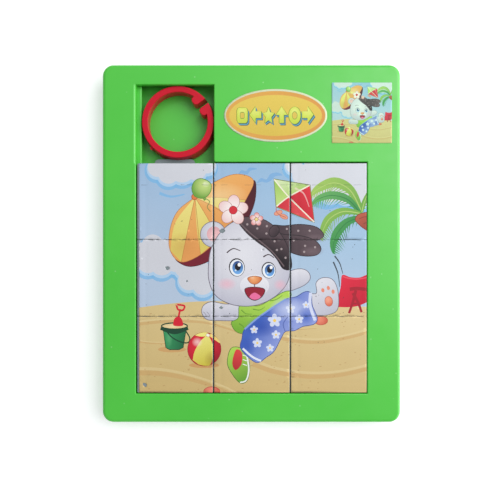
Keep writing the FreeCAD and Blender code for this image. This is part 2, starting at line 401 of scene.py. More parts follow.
def draw_sand(art, dice):
    edge = smooth([(-3, 36.6), (12, 38.6), (28, 39.8), (45, 39.5), (62, 38.6), (80, 38), (103, 37.4)],
                  8, closed=False)
    shore = np.concatenate([edge, [(103, -3), (-3, -3)]])
    add(art, shore, fade((212, 186, 124), (220, 196, 140), (0, 20), (100, 30)))
    add(art, shore, fade((196, 166, 104), (222, 200, 146), (50, 0), (50, 39)), 0.45)
    bands = (
        ([(-3, 29.5), (12, 31), (28, 30.6), (40, 27.5), (47, 24.5)], 1.5, 0.4),
        ([(58, 25), (68, 22.6), (80, 22), (92, 24), (103, 27)], 1.7, 1.2),
        ([(-3, 22.6), (6, 21.4), (20, 21.5)], 0.8, 0.3),
        ([(50, 12.5), (60, 9), (74, 7), (88, 7.6), (103, 11)], 2.2, 1.6),
        ([(-3, 8.6), (10, 8.2), (24, 5.4), (38, 0.5), (44, -3)], 2.4, 1.0),
        ([(52, 29), (66, 27.4), (78, 28)], 0.6, 0.3),
    )
    for points, width, end_width in bands:
        add(art, ribbon(points, width, end_width), (204, 160, 100), 0.55)
        lit = [(u, v + width * 0.75) for u, v in points]
        add(art, ribbon(lit, width * 0.6, end_width * 0.6), (232, 212, 160), 0.4)
    for _ in range(90):
        u, v = dice.uniform(1, 99), dice.uniform(1, 35)
        add(art, ellipse(u, v, dice.uniform(0.25, 0.6), 0.2, 8, 8), (176, 132, 82), 0.55)
    for u, v, radius_u, radius_v in ((80, 31.4, 2.9, 1.9), (32, 0.4, 3.6, 2.1)):
        add_outlined(art, ellipse(u, v, radius_u, radius_v),
                     glow((236, 140, 112), (208, 92, 70), (u - 0.6, v + 0.7), 3.2), (186, 84, 66))


def frond(art, spine, width, colour, vein, teeth):
    """A palm leaf: a smooth upper edge and a comb of narrow leaflets along the lower one."""
    line = smooth(spine, 12, closed=False)
    share = np.linspace(0, 1, len(line))
    ahead = np.gradient(line, axis=0)
    side = sideways(ahead)
    if side[len(line) // 2][1] < 0:
        side = -side
    half = (width * np.sin(np.pi * np.clip(share * 0.94 + 0.06, 0, 1)) ** 0.7)[:, None]
    leaf = np.concatenate([line + side * half * 0.6, (line - side * half * 0.5)[::-1]])
    add(art, leaf, colour)
    for tooth in range(teeth):
        at = 0.04 + 0.93 * tooth / (teeth - 1)
        index = at * (len(line) - 1)
        low = int(index)
        part = index - low
        root = line[low] * (1 - part) + line[low + 1] * part
        way, out = ahead[low] / np.linalg.norm(ahead[low]), side[low]
        reach = half[low][0] * (1.75 if tooth % 2 else 1.45)
        tip = root - out * reach + way * reach * 0.55
        add(art, [root - way * 0.42, tip, root + way * 0.42], colour)
    add(art, ribbon(spine, 0.5, 0.12, 8), vein, 0.8)


def draw_palm(art):
    light = fade((164, 200, 96), (104, 166, 66), (78, 92), (98, 76))
    deep = fade((104, 176, 96), (52, 142, 72), (78, 86), (96, 74))
    pale, dark = (190, 212, 124), (36, 118, 60)
    frond(art, [(98, 78.5), (93, 88), (86, 91.5), (79, 89), (75.5, 86)], 4.0, light, pale, 20)
    frond(art, [(97.5, 78), (92, 84), (85, 86), (79, 84.5), (76, 82)], 3.2, deep, dark, 18)
    frond(art, [(98, 78), (90, 79), (84, 76), (81, 71), (80, 66.5)], 3.4, light, pale, 18)
    frond(art, [(98.5, 76.5), (92, 74.5), (87.5, 70), (85.5, 65), (85.5, 60.5)], 3.6, deep, dark, 17)
    frond(art, [(98, 79), (99, 83), (101, 88)], 1.8, light, pale, 8)
    trunk = smooth([(97, 78), (95, 75.5), (97, 73), (99, 71.5), (102.5, 70), (102.5, 78)])
    add_outlined(art, trunk, fade((190, 92, 66), (150, 66, 48), (96, 78), (101, 71)), (120, 56, 44))
    for u, v in ((96.8, 75.8), (98.6, 73.6)):
        add(art, ribbon([(u, v), (u + 2, v + 0.8), (u + 4, v + 0.8)], 0.3), (118, 52, 40), 0.8)


def draw_deck_chair(art):
    red = fade((224, 32, 62), (196, 16, 46), (88, 50), (100, 38))
    legs = (168, 22, 42)
    seat = smooth([(89.3, 51.2), (93, 50.3), (97, 50.2), (102.5, 51.4), (102.5, 42), (97.5, 38.2),
                   (91, 37.2), (85.2, 38), (87.2, 41), (88.6, 46)])
    add(art, seat, red)
    add(art, ribbon([(89.6, 50.6), (93, 49.7), (97, 49.6), (102, 50.6)], 0.5), (240, 96, 108), 0.7)
    for points in ([(95.3, 44.6), (94, 39.5), (92.3, 34.6)], [(94, 43.4), (96.4, 39), (97.8, 35)]):
        add(art, ribbon(points, 1.3, 1.0), legs)
    add(art, ribbon([(92.6, 45), (96, 45.4), (102, 44.6)], 1.5), legs)
    add(art, ribbon([(94, 38.8), (96.6, 38.8)], 0.8), legs)


def draw_kite(art):
    """A plain four-panel kite with a short tail."""
    top, right, low, left, middle = (59.4, 93), (75, 90.4), (77, 74.4), (60.4, 81.2), (65.8, 85.4)
    panels = (
        ((top, middle, left), (150, 196, 84), (196, 220, 130)),
        ((top, right, middle), (222, 234, 190), (176, 208, 118)),
        ((right, low, middle), (224, 46, 62), (196, 26, 46)),
        ((left, middle, low), (206, 34, 54), (232, 90, 90)),
    )
    add(art, grown([top, left, low, right], 0.45), (120, 130, 76))
    for (a, b, c), first, second in panels:
        add(art, [a, b, c], fade(first, second, a, c))
    add(art, ribbon([top, middle, low], 0.55), (244, 236, 214))
    add(art, ribbon([left, middle, right], 0.55), (244, 236, 214))
    add(art, ribbon([(68.5, 89.2), (72.4, 86.8), (74.8, 81)], 0.9, 0.3), (246, 214, 208), 0.55)
    for u, v, turn in ((61.2, 78.4, 20), (63.6, 76.8, -25)):
        add_outlined(art, ellipse(u, v, 1.9, 1.0, turn, 16), (232, 158, 128), (190, 96, 80), 0.2)
    add(art, ribbon([left, (60.4, 79), (62, 77.4), (64.6, 76.4)], 0.3), (190, 96, 80))


def bowed(start, end, shift_u, shift_v):
    """A line of three points whose middle one is shifted off the straight."""
    return [start, ((start[0] + end[0]) / 2 + shift_u, (start[1] + end[1]) / 2 + shift_v), end]


def draw_parasol(art):
    """A striped beach parasol, tipped towards the upper right."""
    tip = (24.6, 85.2)
    rim = [(13.8, 62), (18.6, 57), (27, 60.2), (35, 67.2), (41.6, 75.6), (46.8, 84), (50.2, 92.6)]
    underside = smooth([(16, 58.6), (22, 55), (31, 57.5), (40.5, 65), (47, 74), (51, 84), (50.6, 92.6),
                        (44, 84), (34, 70), (24, 61)])
    add_outlined(art, underside, fade((120, 16, 38), (72, 8, 26), (22, 56), (50, 88)), (70, 16, 26))
    outer = smooth([(13.8, 62), (13.6, 70.5), (17, 79), tip, (33, 91.6), (42.5, 95.2), (50.2, 92.6),
                    (46.8, 84), (41.6, 75.6), (35, 67.2), (27, 60.2), (18.6, 57)])
    add(art, grown(outer, 0.2), (172, 104, 52))
    add(art, outer, fade((238, 176, 98), (226, 148, 78), (22, 84), (40, 62)))
    for number, bow in ((0, (-3.2, 0.6)), (2, (-0.4, -0.8)), (4, (0.8, 0.6))):
        far = rim[number + 1]
        left = smooth(bowed(tip, rim[number], *bow), 8, closed=False)
        right = smooth(bowed(tip, far, 0, 0.6), 8, closed=False)
        panel = np.concatenate([left, right[::-1]])
        add(art, panel, fade((240, 226, 134), (220, 200, 96), tip, far))
    for far in rim[1:6]:
        add(art, ribbon(bowed(tip, far, 0, 0.5), 0.26), (190, 118, 56), 0.8)
    add_shade(art, 36, 86, 12, 6, (250, 226, 170), 0.5)
    add_shade(art, 19, 64, 7, 6, (196, 120, 60), 0.35)
    add_outlined(art, disc(24.4, 85.4, 1.3, 16), (226, 124, 62), (170, 84, 44))


def draw_balloon(art):
    add(art, ribbon([(28.6, 85), (31, 83.4), (30, 81), (31.4, 79)], 0.3), (96, 130, 70))
    add_outlined(art, smooth([(27.4, 93.4), (31.4, 91.4), (31.4, 87.6), (28.6, 84.8), (24.6, 85.6),
                              (23.2, 89), (24.4, 92.2)]),
                 glow((198, 220, 130), (112, 164, 62), (28.8, 90.4), 5.4), (84, 132, 62))
    add_shade(art, 29.4, 91, 1.7, 1.4, (246, 250, 220), 0.9)
    add(art, [(28, 84.8), (29.8, 84.4), (28.6, 83.6)], (112, 164, 62))


def petals(u, v, radius, length, width, turn, steps):
    """The outlines of five petals round a flower's middle."""
    for number in range(5):
        angle = math.radians(number * 72 + turn)
        at_u, at_v = u + radius * math.cos(angle), v + radius * math.sin(angle)
        yield ellipse(at_u, at_v, length, width, number * 72 + turn, steps)


def draw_flower(art, u, v, radius, petal_colour, heart):
    for petal in petals(u, v, radius, radius * 0.86, radius * 0.72, 14, 20):
        add_outlined(art, petal, glow((250, 242, 238), petal_colour, (u, v), radius * 2.1),
                     (176, 120, 112), 0.2)
    add_outlined(art, disc(u, v, radius * 0.5, 16), heart, (150, 30, 44), 0.2)


def draw_bucket(art):
    add(art, ellipse(14.5, 18.8, 6.2, 1.3), (206, 152, 92), 0.7)
    spade = (214, 26, 46)
    add(art, ribbon([(17.2, 31), (17.6, 34), (18.2, 36.4)], 0.9, 0.8), spade)
    add(art, ribbon([(16.4, 38.4), (17.2, 36.2), (19.2, 35.9), (19.9, 37.8), (16.4, 38.4)], 0.8), spade)
    add(art, smooth([(15.3, 29), (15.5, 32), (17.2, 33.2), (18.8, 32), (19.2, 29)], 6), spade)
    add(art, ribbon([(16.2, 31.6), (16.6, 32.2), (17.2, 32.5)], 0.35), (244, 130, 130), 0.8)
    green = fade((52, 150, 92), (12, 92, 56), (11, 24), (21, 22))
    line = (10, 66, 42)
    body = [(10.6, 27.6), (20.8, 27.6), (19.4, 19.6), (17.6, 18.7), (13.4, 18.7), (11.8, 19.6)]
    add_outlined(art, body, green, line, 0.35)
    add_shade(art, 13.2, 23.5, 1.6, 4, (110, 190, 130), 0.5)
    add(art, ribbon([(9.7, 28.5), (15.6, 26.6), (21.4, 28.5)], 2.4), line)
    add_outlined(art, ellipse(15.6, 29, 5.7, 1.35), (230, 204, 148), line, 0.55)
    add_shade(art, 14.4, 28.8, 3, 0.8, (250, 232, 186), 0.8)
    add(art, smooth([(15.3, 29.2), (15.5, 31.4), (17.2, 32.6), (18.8, 31.4), (19.2, 29.2)], 6), spade)
    handle = [(11.6, 27.4), (14.6, 24), (18.6, 22), (21.6, 21.8), (22.3, 23.8), (20.6, 26.8)]
    add(art, ribbon(handle, 0.55), line)


def draw_ball(art):
    u, v, radius = 28.7, 18.9, 7.35
    add(art, ellipse(28.6, 11.9, 6.6, 1.2), (206, 146, 86), 0.75)
    red = glow((226, 36, 56), (176, 10, 36), (u - 1.5, v + 2), radius * 1.2)
    yellow = fade((240, 232, 128), (206, 190, 60), (u - 2, v + 6), (u + 2, v - 7))
    add_outlined(art, disc(u, v, radius, 44), red, (150, 26, 40), 0.2)
    left = smooth([(30.2, 25.2), (27, 22.4), (24.4, 17.8), (23.6, 14.2)], 8, closed=False)
    right = smooth([(26.2, 12.2), (29, 11.7), (31.4, 12.3), (32.8, 17), (32.2, 21.6), (30.2, 25.2)],
                   8, closed=False)
    add(art, np.concatenate([left, right]), yellow)
    add(art, smooth([(24.8, 25), (27.4, 26.1), (30, 26.1), (30.4, 24.8), (27.6, 24.4)], 6), yellow)
    add(art, smooth([(31.8, 25.5), (34.2, 23.8), (35.6, 21.6), (33, 23.2), (30.8, 24.8)], 6),
        (244, 214, 120))
    add_outlined(art, ellipse(30.3, 25, 0.9, 0.7, -20, 14), (250, 246, 226), (190, 120, 60), 0.15)
    add_shade(art, 25.6, 22, 2.4, 2.2, (255, 226, 220), 0.75)
    add_shade(art, 32.6, 14.4, 4.2, 4.2, (110, 10, 30), 0.4)


FUR = (222, 221, 228)
FUR_SHADE = (186, 186, 201)
FUR_LINE = (112, 104, 118)
SCARF_LINE = (34, 24, 30)


def draw_eye(art, u, v, size):
    add(art, ellipse(u, v, 3.5 * size, 4.0 * size, 6, 30), (40, 30, 40))
    add(art, ellipse(u + 0.1, v - 0.15, 3.15 * size, 3.6 * size, 6, 30), (240, 244, 248))
    add(art, ellipse(u + 0.4, v - 0.1, 2.4 * size, 2.9 * size, 0, 26),
        fade((34, 66, 132), (112, 172, 232), (u, v + 2.4 * size), (u, v - 2.6 * size)))
    add(art, ellipse(u + 0.4, v + 0.2, 1.3 * size, 1.6 * size, 0, 20), (22, 18, 30))
    add(art, ellipse(u + 1.1, v + 1.2, 0.75 * size, 0.85 * size, 0, 14), (252, 252, 252))
    add(art, disc(u - 0.5, v - 1.3, 0.4 * size, 10), (214, 234, 250))


def draw_cub_limbs(art):
    """The arms, the boot and the raised paw of the bear cub."""
    right_arm = smooth([(61, 47), (66, 52.6), (71, 54), (74.4, 52.6), (75.2, 49.6), (72.6, 46.8),
                        (67, 44.4), (61, 42)])
    add_outlined(art, right_arm, fade(FUR, FUR_SHADE, (68, 53), (69, 44)), FUR_LINE)
    left_arm = smooth([(46, 38.6), (38, 38.6), (32, 39.6), (28.4, 38), (27.6, 34.8), (30, 31.8),
                       (36, 31.4), (42, 31.4), (46.6, 32.6)])
    add_outlined(art, left_arm, fade(FUR, FUR_SHADE, (40, 40), (40, 31)), FUR_LINE)
    for u in (28.9, 30.4):
        add(art, ribbon([(u - 0.6, 35.2), (u + 0.4, 34), (u + 0.6, 32.8)], 0.25), FUR_LINE, 0.7)
    boot = smooth([(40.6, 19.4), (45.6, 19), (48.2, 14.4), (48.6, 9.4), (47.4, 5), (44.4, 4.2), (41, 8),
                   (38.8, 13)])
    add_outlined(art, boot, fade((176, 214, 84), (96, 156, 46), (40, 18), (47, 5)), (78, 116, 44))
    add(art, smooth([(42.6, 18.6), (45.2, 17.4), (45, 12.4), (42.4, 9.8), (41, 13)], 6),
        fade((222, 64, 62), (182, 34, 44), (44, 18), (42, 10)))
    sole = [(47.2, 17), (48, 13), (48.2, 9), (47, 5.2), (44.4, 4.4)]
    add(art, ribbon(sole, 0.8, 0.6), (236, 238, 232))
    for v in (16.4, 14.4, 12.4):
        add(art, ribbon([(45.6, v), (47.4, v - 0.6)], 0.35), (244, 246, 240))
    paw = smooth([(74.6, 42.4), (78, 43.4), (77.8, 47.8), (80.4, 50), (84.6, 49.6), (87, 46), (87.8, 40),
                  (86.8, 35.6), (82.6, 33.8), (78, 33.8), (75.4, 34.8)])
    add_outlined(art, paw, fade(FUR, FUR_SHADE, (79, 48), (86, 34)), FUR_LINE)
    add_outlined(art, ellipse(83.4, 39.8, 1.7, 2.2, 10, 22),
                 glow((244, 168, 140), (222, 110, 84), (83, 40.6), 2.4), (170, 86, 70), 0.18)
    for u, v in ((80.8, 44.6), (83.2, 45.6), (85.3, 44)):
        add(art, ellipse(u, v, 0.7, 0.95, 10, 12), (232, 138, 112))


def draw_flower_print(art, u, v, size):
    """A small white flower of the shorts' print."""
    for petal in petals(u, v, size, size * 0.8, size * 0.62, 20, 12):
        add(art, petal, (224, 230, 248), 0.85)
    add(art, disc(u, v, size * 0.42, 10), (246, 206, 96))


def draw_cub_clothes(art):
    """The green shirt and the blue beach shorts."""
    shirt = smooth([(44.6, 38.6), (52, 37.8), (58, 40.6), (63.4, 43.8), (66.6, 44), (66.2, 40.6), (61, 36.4),
                    (54, 31.6), (48, 28.2), (45.4, 25.8), (42.2, 27), (40.6, 30.6), (43.6, 32.6)])
    add_outlined(art, shirt, fade((176, 216, 84), (120, 176, 48), (50, 40), (48, 27)), (84, 128, 44))
    for points in ([(45, 36), (47, 34.4), (49.6, 34.2)], [(50, 36.4), (53, 36), (55.4, 37.4)],
                   [(44, 30), (45.6, 29), (46.4, 27.6)], [(57.6, 40), (60.4, 40.6), (63, 42.4)]):
        add(art, ribbon(points, 0.5, 0.2), (86, 140, 36), 0.8)
    shorts = smooth([(46.4, 27.6), (52, 32.4), (58, 36.6), (64.6, 40.8), (69, 41.8), (73, 44), (75.6, 43.2),
                     (76.2, 38), (78.4, 32.4), (76.8, 29.8), (72, 28.8), (68.4, 27), (64.4, 26.6),
                     (62.4, 23.6), (59.4, 18), (56, 15.4), (52, 13), (47.6, 15.8), (44.6, 19.6),
                     (45.2, 23.4)], 6)
    add_outlined(art, shorts, fade((62, 98, 190), (150, 164, 222), (50, 27), (62, 18)), (44, 66, 140))
    add_shade(art, 66, 36.4, 9, 5.5, (196, 206, 238), 0.95)
    add_shade(art, 73.4, 33, 4.4, 4.6, (52, 92, 190), 0.85)
    add_shade(art, 54, 28.6, 7.4, 4.6, (30, 70, 168), 0.75)
    add_shade(art, 47.8, 20, 3.6, 4.6, (36, 76, 176), 0.7)
    add(art, ribbon([(46.4, 27.6), (52, 32.4), (58, 36.6), (64.6, 40.8)], 0.7), (132, 160, 220))
    add(art, ribbon([(45.6, 19.2), (49.8, 15.6), (53.6, 13.8)], 0.9), (228, 232, 246))
    add(art, ribbon([(75.4, 43.6), (75.2, 38), (77.4, 31.4)], 1.3), (212, 218, 242))
    add(art, ribbon([(64.2, 26.8), (63.4, 30), (65.4, 33)], 0.35), (50, 70, 150), 0.7)
    for u, v, size in ((57.6, 19.4, 1.0), (70.4, 32, 1.1), (52, 21.6, 1.2), (59.6, 31.4, 1.7),
                       (66.6, 36.6, 1.2), (50.6, 27.4, 1.0), (60.2, 25.2, 1.1), (73.4, 38.2, 0.9)):
        draw_flower_print(art, u, v, size)


def draw_cub_ear(art):
    add_outlined(art, disc(32.6, 69, 5.6, 34), glow(FUR, FUR_SHADE, (33, 70), 7), FUR_LINE)
    add(art, ellipse(33, 69.2, 3.2, 3.3, 0, 24), glow((244, 196, 196), (224, 168, 174), (33, 68), 4))


def draw_scarf_ends(art):
    """The two loose ends of the headscarf, behind the head."""
    ends = (
        [(58, 72.6), (64, 72.8), (71, 73.4), (78, 72.2), (81.2, 68.6), (77.6, 66.2), (70, 65.6), (60, 66)],
        [(58, 70), (64, 69), (71, 68.4), (77, 66.6), (80, 63), (78, 60), (72, 59.6), (66, 61.4), (59, 65)],
    )
    for end in ends:
        add_outlined(art, smooth(end), fade((64, 48, 54), (92, 74, 80), (60, 66), (76, 70)), SCARF_LINE, 0.3)
        add_shade(art, end[4][0] - 4, end[4][1] - 1.4, 5.4, 2.2, (126, 106, 112), 0.6)


def draw_headscarf(art):
    """A spotted dark headscarf, tied at one side."""
    scarf = smooth([(43.4, 75.6), (50, 76.6), (56.6, 74.6), (62, 69.6), (66, 62), (67, 54.4), (63.4, 54),
                    (60.4, 58.4), (56.6, 62.4), (51.6, 66), (46.6, 70.4)])
    add_outlined(art, scarf, fade((28, 18, 24), (96, 76, 82), (58, 60), (63, 71)), SCARF_LINE, 0.3)
    hem = [(44, 74.4), (48.6, 69.8), (54, 65.4), (59, 61), (63.8, 55)]
    add(art, ribbon(hem, 0.5), (120, 100, 104), 0.8)
    for u, v in ((47.6, 73.4), (52, 71.6), (50.8, 74.8), (56, 69.4), (56.2, 72.6), (59.6, 66), (60.6, 69),
                 (62.6, 62.6), (64.4, 58.8), (60.6, 62.2), (65, 71.4), (70, 70.6), (75, 70.6), (68, 66.4),
                 (73, 64), (77.4, 63.4), (72.6, 61.4)):
        add(art, disc(u, v, 0.5, 10), (176, 160, 160), 0.85)
    add_outlined(art, ellipse(59.4, 70.4, 2.1, 2.7, -30, 20),
                 fade((84, 66, 72), (50, 36, 42), (58, 72), (61, 69)), SCARF_LINE, 0.3)


def draw_cub_mouth(art):
    mouth = smooth([(46.6, 45.2), (50.8, 46), (55.2, 45), (54, 41.8), (50.8, 40.2), (47.8, 41.8)])
    add_outlined(art, mouth, (150, 20, 44), (60, 30, 40), 0.3)
    tongue = smooth([(48.6, 42), (50.8, 43.6), (53.4, 42), (52.6, 40.9), (50.8, 40.5), (49.4, 40.9)], 6)
    add(art, tongue, (236, 110, 158))


def draw_cub_nose(art):
    add(art, ribbon([(50.8, 48.6), (50.8, 46.2)], 0.4), (90, 60, 66))
    nose = smooth([(47.8, 50), (50.8, 50.8), (54, 50), (52.8, 48), (50.8, 47.2), (48.8, 48)], 6)
    add_outlined(art, nose, glow((244, 170, 110), (212, 116, 60), (50.4, 49.8), 3), (140, 74, 46), 0.22)
    add_shade(art, 50, 49.9, 1.1, 0.6, (255, 232, 206), 0.9)


def draw_cub_head(art):
    """A white bear cub's head with a round ear and a headscarf."""
    draw_cub_ear(art)
    draw_scarf_ends(art)
    head = smooth([(30.6, 56), (31.8, 63), (35.6, 69.6), (41, 74.2), (48, 75.8), (55, 74), (60.6, 69.4),
                   (64.6, 62.4), (66.4, 55), (65, 47.6), (59.4, 41.6), (51, 38), (41.6, 38.2), (34, 42),
                   (30.8, 48.6)])
    add_outlined(art, head, glow((228, 227, 233), (192, 191, 205), (46, 60), 22), FUR_LINE, 0.32)
    draw_headscarf(art)
    draw_eye(art, 43, 54.6, 1.0)
    draw_eye(art, 57, 53.4, 0.9)
    for brow in ([(38.6, 61), (41.4, 62.8), (44.6, 61.8)], [(54.6, 59.2), (57, 60.2), (59.4, 58.8)]):
        add(art, ribbon(brow, 0.6, 0.3), (70, 52, 58))
    add_shade(art, 38.6, 47.4, 4.4, 2.8, (240, 176, 192), 0.75)
    add_shade(art, 62, 47, 3, 2.6, (240, 176, 192), 0.7)
    add(art, ellipse(50.8, 46.6, 6.4, 4.8, 0, 34),
        fade((234, 233, 238), (212, 210, 222), (50, 50), (50, 41)))
    draw_cub_mouth(art)
    draw_cub_nose(art)


def draw_cut_line_gap_shade_and_specks(art, dice):
    """Dark dashed lines, a scored one across the top row and painted shade along the gaps between the rows'
    films, and dark specks of wear.
    """
    # the dashes at 67.2 and 33.5 lie along the gaps between the rows' films and are painted shade; the one at
    # 90.6 is a scored line across the top row
    for at, strength, chance in ((90.6, 0.6, 0.62), (67.2, 0.5, 0.4), (33.5, 0.5, 0.4)):
        u = 1.0
        while u < 99:
            length = dice.uniform(0.6, 3.6)
            if dice.random() < chance:
                points = [(u, at + dice.uniform(-0.1, 0.1)), (u + length, at + dice.uniform(-0.1, 0.1))]
                add(art, ribbon(points, dice.uniform(0.12, 0.26), 0.1), (60, 58, 62), strength)
            u += length + dice.uniform(0.2, 1.6)
    for _ in range(46):
        u, v = dice.uniform(2, 98), dice.uniform(2, 98)
        size = dice.uniform(0.12, 0.3)
        add(art, ellipse(u, v, size, size * 0.7, dice.uniform(0, 90), 6), (58, 56, 60), 0.8)


def draw_motion_strokes(art):
    """Two curved strokes above the raised paw."""
    for points in ([(86, 59.6), (88.2, 56.4), (89.6, 51.8)], [(85.4, 57), (87.4, 52), (88.2, 46)]):
        add(art, ribbon(points, 0.7, 0.25), (50, 56, 64), 0.95)


def beach_drawing(worn):
    """The whole scene. The worn one also has the film's scored line, painted shade dashed along the gaps
    between its rows, its specks and the fine strokes.
    """
    dice = random.Random(SCENE_SEED)
    art = []
    draw_sky(art)
    draw_clouds(art)
    draw_sand(art, dice)
    draw_deck_chair(art)
    draw_palm(art)
    draw_parasol(art)
    draw_balloon(art)
    draw_kite(art)
    draw_bucket(art)
    draw_ball(art)
    draw_cub_limbs(art)
    draw_cub_clothes(art)
    draw_cub_head(art)
    draw_flower(art, 41.4, 79.6, 3.6, (236, 190, 190), (214, 44, 58))
    draw_flower(art, 51.6, 75.6, 1.6, (226, 80, 84), (240, 220, 140))
    if worn:
        draw_cut_line_gap_shade_and_specks(art, dice)
        draw_motion_strokes(art)
    return art


# ------------------------ turning a drawing into meshes


def inside(outline, at):
    """Which of the places lie inside the outline."""
    start, end = outline, np.roll(outline, -1, axis=0)
    u, v = at[:, 0:1], at[:, 1:2]
    crosses = (start[None, :, 1] > v) != (end[None, :, 1] > v)
    rise = np.where(end[:, 1] == start[:, 1], 1e-12, end[:, 1] - start[:, 1])
    where = start[:, 0] + (v - start[None, :, 1]) * (end[:, 0] - start[:, 0]) / rise
    return np.sum(crosses & (u < where), axis=1) % 2 == 1


def triangulate(art, cuts, grid_u, grid_v):
    """One flat mesh that every outline and cut is an edge of, with a grid of points for soft paints."""
    places, edges = [], []

    def put(outline):
        first = len(places)
        places.extend(Vector((float(u), float(v))) for u, v in outline)
        edges.extend((first + index, first + (index + 1) % len(outline)) for index in range(len(outline)))

    for outline, _, _ in art:
        lowest, highest = outline.min(axis=0), outline.max(axis=0)
        off_sheet = np.any(highest < SHEET_LOW) or np.any(lowest > SHEET_HIGH)
        covers_all = np.all(lowest < SHEET_LOW - 1) and np.all(highest > SHEET_HIGH + 1)
        if not off_sheet and not covers_all:
            put(np.clip(outline, SHEET_LOW - 1, SHEET_HIGH + 1))
    for cut in cuts:
        put(cut)
    for number, u in enumerate(grid_u):
        shift = 0.25 if number % 2 else 0.0
        places.extend(Vector((float(u), float(v + shift))) for v in grid_v)
    result = delaunay_2d_cdt(places, edges, [], 0, 1e-4)
    spots = np.array([(p.x, p.y) for p in result[0]])
    return spots, np.array([face for face in result[2] if len(face) == 3], dtype=int)


def paint_triangles(art, spots, faces):
    """The colour at each corner of each triangle."""
    corners = spots[faces]
    middles = corners.mean(axis=1)
    colours = np.zeros((len(faces), 3, 3))
    for outline, paint, cover in art:
        close = np.all((middles >= outline.min(axis=0)) & (middles <= outline.max(axis=0)), axis=1)
        near = np.flatnonzero(close)
        hit = near[inside(outline, middles[near])]
        share = cover(corners[hit])[..., None] if callable(cover) else cover
        colours[hit] += (paint(corners[hit]) - colours[hit]) * share
    return colours


def outer_edges(faces):
    """The triangles' edges that no neighbour shares, in the order of the triangles."""
    edges = dict.fromkeys(edge for a, b, c in faces.tolist() for edge in ((a, b), (b, c), (c, a)))
    return [(a, b) for a, b in edges if (b, a) not in edges]


def paint_mesh(mesh, colours):
    """Puts the corner colours on a piece's top, which is its first faces, and shades that smooth."""
    shades = np.empty((len(mesh.loops), 4))
    # the walls and backs take the darker grey: painted shade on the films' edges
    shades[:, :3] = FILM_SIDE_SHADED_GREY
    shades[:, 3] = 1
    shades[:len(colours) * 3, :3] = colours.reshape(-1, 3)
    layer = mesh.color_attributes.new("print", "FLOAT_COLOR", "CORNER")
    layer.data.foreach_set("color", shades.ravel())
    mesh.polygons.foreach_set("use_smooth", np.arange(len(mesh.polygons)) < len(colours))
    mesh.update()


def film_mesh(name, spots, faces, colours, high, low, drop):
    """A closed thin piece from flat triangles: a painted top, its walls and a plain back."""
    used, packed = np.unique(faces, return_inverse=True)
    faces = packed.reshape(faces.shape)
    spots = spots[used]
    count = len(spots)
    first, second, third = (spots[faces[:, corner]] for corner in range(3))
    turned = np.cross(second - first, third - first) < 0
    faces = np.where(turned[:, None], faces[:, ::-1], faces)
    colours = np.where(turned[:, None, None], colours[:, ::-1], colours)
    top = np.concatenate([spots, (high - drop(spots))[:, None]], axis=1)
    under = np.concatenate([spots, np.full((count, 1), low)], axis=1)
    walls = [(a, a + count, b + count, b) for a, b in outer_edges(faces)]
    backs = (faces[:, ::-1] + count).tolist()
    mesh = bpy.data.meshes.new(name)
    mesh.from_pydata(np.concatenate([top, under]).tolist(), [], faces.tolist() + backs + walls)
    paint_mesh(mesh, colours)
    return new_object(name, mesh)


# ------------------------ the printed pieces

PRINT_DOT_SCALE = 2600       # noise scales, in waves per metre
PRINT_DRIFT_SCALE = 40
LAMINATE_WEAR_SCALE = 220
LAMINATE_WAVE_SCALE = 260
UNITS_PER_MM = (0.977, 0.97)     # the drawing's units across and up
GRID_STEP = 1.05             # of the points between a film's outlines, in the drawing's units
SCENE_SEED = 11
CHIP_SEED = 5
EDGE_SEED = 23


def printed_film(name, grain, roughness, fade_to, faded):
    """Printed film: the drawing's colours, fine print grain, a satin laminate with slight waviness."""
    surface = Surface(name)
    ink = surface.node("ShaderNodeVertexColor", {}, layer_name="print").outputs["Color"]
    tinted = surface.mix(ink, (*fade_to, 1), faded)
    dots = surface.spread(surface.noise(PRINT_DOT_SCALE, 1), -grain, grain)
    drift = surface.spread(surface.noise(PRINT_DRIFT_SCALE, 3), 0.93, 0.98)
    wear = surface.noise(LAMINATE_WEAR_SCALE, 4, 0.7)
    surface.fill(surface.shader, {
        "Base Color": surface.mix(tinted, surface.maths("ADD", dots, drift), 1, "MULTIPLY"),
        "Roughness": surface.spread(wear, roughness - 0.06, roughness + 0.08),
        "Specular IOR Level": 0.22,
        "Normal": surface.relief(surface.noise(LAMINATE_WAVE_SCALE, 2), 0.3, 0.04 * MM),
    })
    return surface.material


def chip_outlines(dice):
    """Where bits of the film have come off, so that the grey tile shows."""
    chips = []
    for u, v, radius_u, radius_v in ((36.4, 70.4, 1.5, 1.0), (12.4, 54.4, 1.0, 0.9), (21, 48.6, 0.45, 0.5),
                                     (2.6, 3.4, 1.0, 1.0), (36, 37, 0.8, 0.55), (54.4, 62.4, 0.3, 0.3)):
        chip = []
        for turn in range(9):
            angle = (turn + dice.uniform(-0.25, 0.25)) * 2 * math.pi / 9
            reach = dice.uniform(0.65, 1.15)
            chip.append((u + radius_u * reach * math.cos(angle), v + radius_v * reach * math.sin(angle)))
        chips.append(np.array(chip))
    return chips


def ragged_outline(low, high, row, dice):
    """A film's edge: straight outside, and torn a little where it was cut from the next row's film."""
    out = []
    for is_top in (False, True):
        edge, outward = (high[1], 1) if is_top else (low[1], -1)
        torn = row > 1 if is_top else row < 3
        run = [low[0], high[0]]
        if torn:
            u = low[0] + dice.uniform(0.5, 2)
            while u < high[0] - 0.6:
                run.insert(-1, u)
                u += dice.uniform(0.5, 3.2)
        side = []
        level = 0.0
        for u in run:
            side.append((u, edge + outward * level))
            if torn and u > low[0]:
                level = dice.choice((-0.03, 0.0, 0.105, 0.105))
                side.append((u + 0.05, edge + outward * level))
        side = [(min(u, high[0]), v) for u, v in side]
        out.extend(side[::-1] if is_top else side)
    return np.array(out)


